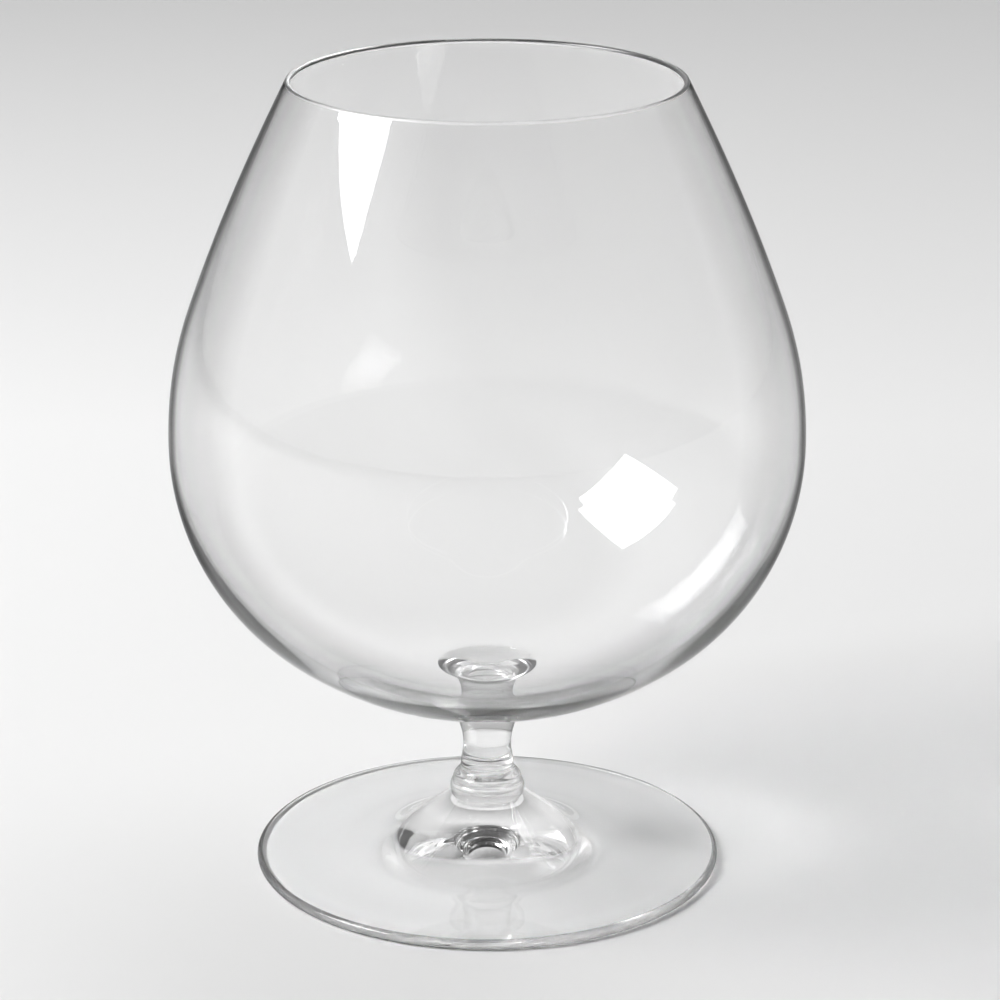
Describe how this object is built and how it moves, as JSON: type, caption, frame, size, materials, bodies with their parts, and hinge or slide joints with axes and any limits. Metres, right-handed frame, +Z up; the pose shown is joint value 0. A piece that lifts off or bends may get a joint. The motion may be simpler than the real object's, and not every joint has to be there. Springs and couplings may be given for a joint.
{
  "type": "brandy snifter",
  "caption": "Stemmed crystal glass with a wide bowl that narrows to its mouth, a short stem and a round flat foot, for holding and warming spirits.",
  "frame": {"origin": "middle of the plane that the foot rests on", "axes": "+Z up along the axis of the glass, through the stem to the mouth; +X and +Y are alike, because the glass is round"},
  "size_m": [0.1206, 0.1206, 0.155],
  "materials": {
    "crystal": "clear fire-polished crystal glass, smooth all over"
  },
  "bodies": {
    "root": {"bowl": "crystal", "stem": "crystal", "foot": "crystal"}
  },
  "joints": []
}
